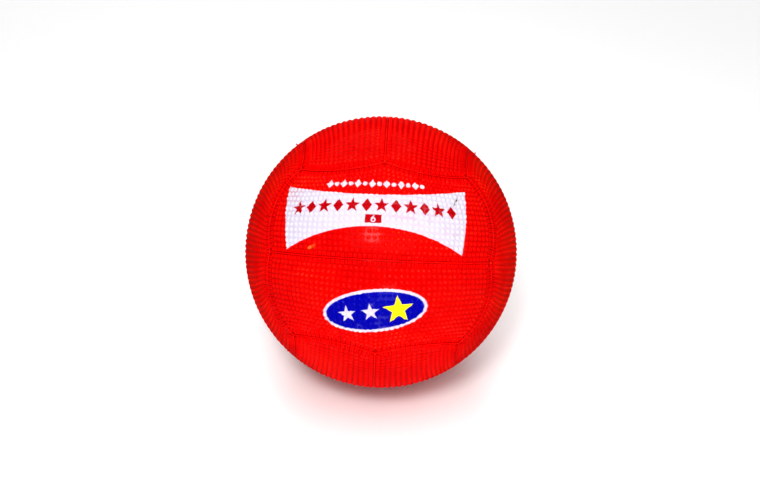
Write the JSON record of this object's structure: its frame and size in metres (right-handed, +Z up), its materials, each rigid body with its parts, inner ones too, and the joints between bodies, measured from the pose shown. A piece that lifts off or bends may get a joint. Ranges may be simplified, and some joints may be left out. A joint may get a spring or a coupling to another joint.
{
  "type": "playground ball",
  "caption": "Red moulded rubber playground ball, a pimpled cover of seamed panels over a nylon-wound carcass and a bladder with a needle valve.",
  "frame": {"origin": "centre of the ball", "axes": "+Z up as the ball lies on the floor, +Y away from the printed front of the cover, which looks to -Y and about 32 degrees up, +X to the right of someone facing that front"},
  "size_m": [0.1522, 0.1522, 0.1522],
  "materials": {
    "cover_rubber": "moulded pimples, semi-gloss, with screen-printed decoration on the front panels",
    "carcass_rubber": "plain cured rubber, matte",
    "winding_thread": "nylon thread wound in latex",
    "bladder_butyl": "smooth butyl, satin",
    "patch_rubber": "calendered rubber, matte",
    "valve_rubber": "moulded rubber, satin",
    "plug_rubber": "soft moulded rubber, satin"
  },
  "bodies": {
    "root": {"panel_front_upper": "cover_rubber", "panel_front_lower": "cover_rubber", "panel_back_upper": "cover_rubber", "panel_back_lower": "cover_rubber", "panel_top_left": "cover_rubber", "panel_top_right": "cover_rubber", "panel_bottom_left": "cover_rubber", "panel_bottom_right": "cover_rubber", "panel_left_front": "cover_rubber", "panel_left_back": "cover_rubber", "panel_right_front": "cover_rubber", "panel_right_back": "cover_rubber", "carcass_rubber": "carcass_rubber", "nylon_winding": "winding_thread", "bladder": "bladder_butyl", "valve_patch": "patch_rubber", "valve_housing": "valve_rubber", "valve_plug": "plug_rubber"}
  },
  "joints": []
}
